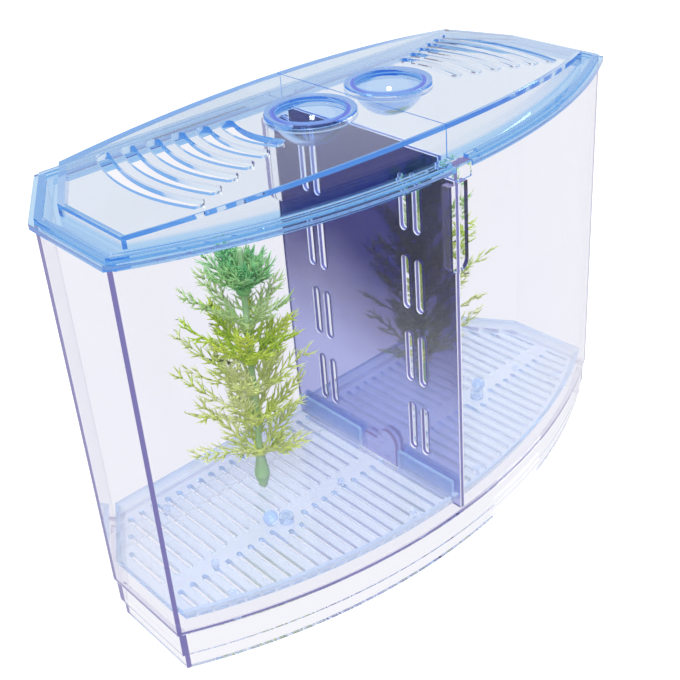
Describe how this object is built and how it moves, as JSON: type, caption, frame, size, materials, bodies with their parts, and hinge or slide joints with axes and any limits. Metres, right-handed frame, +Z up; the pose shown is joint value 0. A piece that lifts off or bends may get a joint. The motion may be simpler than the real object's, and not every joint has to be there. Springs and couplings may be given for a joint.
{
  "type": "fish breeding box",
  "caption": "Clear bow-front fish breeding box with blue vented lid halves, drop-in feeding cups, a slotted divider, slotted floor trays and pegged plastic plants.",
  "frame": {"origin": "under the middle of the tank, on the plane of the foot that it stands on", "axes": "+X along the tank's length, -Y out of the bowed front, +Z up"},
  "size_m": [0.2, 0.0894, 0.1496],
  "materials": {
    "clear_styrene": "gloss",
    "smoke_styrene": "gloss",
    "blue_styrene": "gloss",
    "pale_blue_styrene": "gloss",
    "green_polyethylene": "satin",
    "emerald_polyethylene": "satin"
  },
  "bodies": {
    "tank": {"tank": "clear_styrene"},
    "divider": {"divider": "smoke_styrene"},
    "lid_left": {"lid_left": "blue_styrene"},
    "lid_right": {"lid_right": "blue_styrene"},
    "feeding_cup_left": {"feeding_cup_left": "blue_styrene"},
    "feeding_cup_right": {"feeding_cup_right": "blue_styrene"},
    "grate_left": {"grate_left": "pale_blue_styrene"},
    "grate_right": {"grate_right": "pale_blue_styrene"},
    "plant_left": {"plant_left_stem": "green_polyethylene", "plant_left_whorl_1": "green_polyethylene", "plant_left_whorl_2": "green_polyethylene", "plant_left_whorl_3": "green_polyethylene", "plant_left_whorl_4": "green_polyethylene", "plant_left_whorl_5": "green_polyethylene", "plant_left_whorl_6": "emerald_polyethylene"},
    "plant_right": {"plant_right_stem": "green_polyethylene", "plant_right_whorl_1": "green_polyethylene", "plant_right_whorl_2": "green_polyethylene", "plant_right_whorl_3": "green_polyethylene", "plant_right_whorl_4": "green_polyethylene", "plant_right_whorl_5": "green_polyethylene", "plant_right_whorl_6": "emerald_polyethylene"}
  },
  "joints": [
    {"name": "divider_lift", "type": "slide", "parent": "tank", "child": "divider", "axis": [0, 0, 1], "range_m": [0, 0.0037]},
    {"name": "lid_left_lift", "type": "slide", "parent": "tank", "child": "lid_left", "axis": [0, 0, 1], "range_m": [0, 0.06]},
    {"name": "lid_right_lift", "type": "slide", "parent": "tank", "child": "lid_right", "axis": [0, 0, 1], "range_m": [0, 0.06]},
    {"name": "feeding_cup_left_lift", "type": "slide", "parent": "lid_left", "child": "feeding_cup_left", "axis": [0, 0, 1], "range_m": [0, 0.02]},
    {"name": "feeding_cup_right_lift", "type": "slide", "parent": "lid_right", "child": "feeding_cup_right", "axis": [0, 0, 1], "range_m": [0, 0.02]},
    {"name": "grate_left_lift", "type": "slide", "parent": "tank", "child": "grate_left", "axis": [0, 0, 1], "range_m": [0, 0.012]},
    {"name": "grate_right_lift", "type": "slide", "parent": "tank", "child": "grate_right", "axis": [0, 0, 1], "range_m": [0, 0.012]},
    {"name": "plant_left_pull", "type": "slide", "parent": "grate_left", "child": "plant_left", "axis": [0, 0, 1], "range_m": [0, 0.01]},
    {"name": "plant_right_pull", "type": "slide", "parent": "grate_right", "child": "plant_right", "axis": [0, 0, 1], "range_m": [0, 0.01]}
  ]
}
